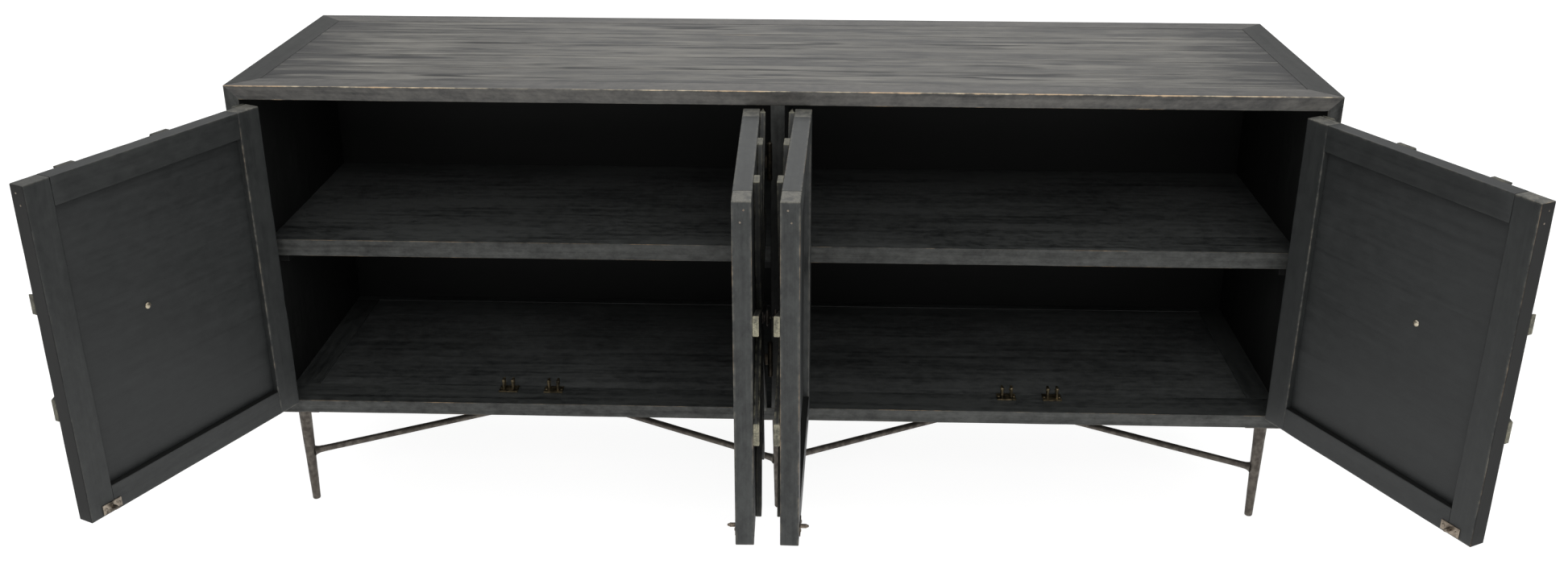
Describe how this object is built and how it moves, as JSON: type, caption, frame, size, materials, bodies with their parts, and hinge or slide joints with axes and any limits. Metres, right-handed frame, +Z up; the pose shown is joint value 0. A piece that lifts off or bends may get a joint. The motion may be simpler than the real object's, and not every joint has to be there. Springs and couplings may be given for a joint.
{
  "type": "sideboard buffet",
  "caption": "Low wooden sideboard with hinged frame-and-panel doors faced with fanned strips, inner shelves, a planked top and tapered iron legs tied by crossed rods.",
  "frame": {"origin": "on the floor under the middle of the whole footprint, measured with the doors standing open as stored; X is also the middle of the cabinet box", "axes": "+X along the length to the right as seen from the front, +Y to the back, the doors face -Y, +Z up"},
  "size_m": [2.1534, 0.9424, 0.802],
  "materials": {
    "black_paint": "matt black paint over wood, edges rubbed through to grey-brown",
    "worn_planks": "grey-brown wire-brushed planks under a thin dark satin stain",
    "worn_strips": "matt black painted strips with pale rubbed ends",
    "dark_inside": "flat near-black paint on the inside",
    "raw_iron": "brushed raw iron, grey-brown, waxed",
    "hinge_steel": "blackened steel",
    "aged_brass": "dull brown aged brass",
    "nickel": "warm nickel-plated screw head"
  },
  "bodies": {
    "cabinet": {"top_frame": "black_paint", "top_planks": "worn_planks", "side_left": "black_paint", "side_right": "black_paint", "bottom_frame": "black_paint", "bottom_panel": "dark_inside", "divider": "black_paint", "back_frame": "dark_inside", "back_panel": "dark_inside", "shelf_left": "black_paint", "shelf_right": "black_paint", "shelf_cleats": "dark_inside", "catches": "aged_brass", "leg_front_left": "raw_iron", "leg_front_mid": "raw_iron", "leg_front_right": "raw_iron", "leg_back_left": "raw_iron", "leg_back_mid": "raw_iron", "leg_back_right": "raw_iron", "rod_left_a": "raw_iron", "rod_left_b": "raw_iron", "rod_right_a": "raw_iron", "rod_right_b": "raw_iron", "leg_plates": "raw_iron", "hinge1_fixed": "hinge_steel", "hinge2_fixed": "hinge_steel", "hinge3_fixed": "hinge_steel", "hinge4_fixed": "hinge_steel"},
    "door1": {"door1_stiles": "black_paint", "door1_rails": "black_paint", "door1_panel": "dark_inside", "door1_rays": "worn_strips", "door1_knob": "raw_iron", "door1_screw": "nickel", "door1_strike": "aged_brass", "door1_hinge": "hinge_steel"},
    "door2": {"door2_stiles": "black_paint", "door2_rails": "black_paint", "door2_panel": "dark_inside", "door2_rays": "worn_strips", "door2_knob": "raw_iron", "door2_screw": "nickel", "door2_strike": "aged_brass", "door2_hinge": "hinge_steel"},
    "door3": {"door3_stiles": "black_paint", "door3_rails": "black_paint", "door3_panel": "dark_inside", "door3_rays": "worn_strips", "door3_knob": "raw_iron", "door3_screw": "nickel", "door3_strike": "aged_brass", "door3_hinge": "hinge_steel"},
    "door4": {"door4_stiles": "black_paint", "door4_rails": "black_paint", "door4_panel": "dark_inside", "door4_rays": "worn_strips", "door4_knob": "raw_iron", "door4_screw": "nickel", "door4_strike": "aged_brass", "door4_hinge": "hinge_steel"}
  },
  "joints": [
    {"name": "door1_swing", "type": "hinge", "parent": "cabinet", "child": "door1", "pos_m": [-0.8895, -0.03525, 0.499], "axis": [0, 0, 1], "range_deg": [-4.9, 115.1]},
    {"name": "door2_swing", "type": "hinge", "parent": "cabinet", "child": "door2", "pos_m": [-0.0135, -0.03525, 0.499], "axis": [0, 0, 1], "range_deg": [-91.2, 0]},
    {"name": "door3_swing", "type": "hinge", "parent": "cabinet", "child": "door3", "pos_m": [0.0135, -0.03525, 0.499], "axis": [0, 0, 1], "range_deg": [0, 91.2]},
    {"name": "door4_swing", "type": "hinge", "parent": "cabinet", "child": "door4", "pos_m": [0.8895, -0.03525, 0.499], "axis": [0, 0, 1], "range_deg": [-117.4, 2.6]}
  ]
}
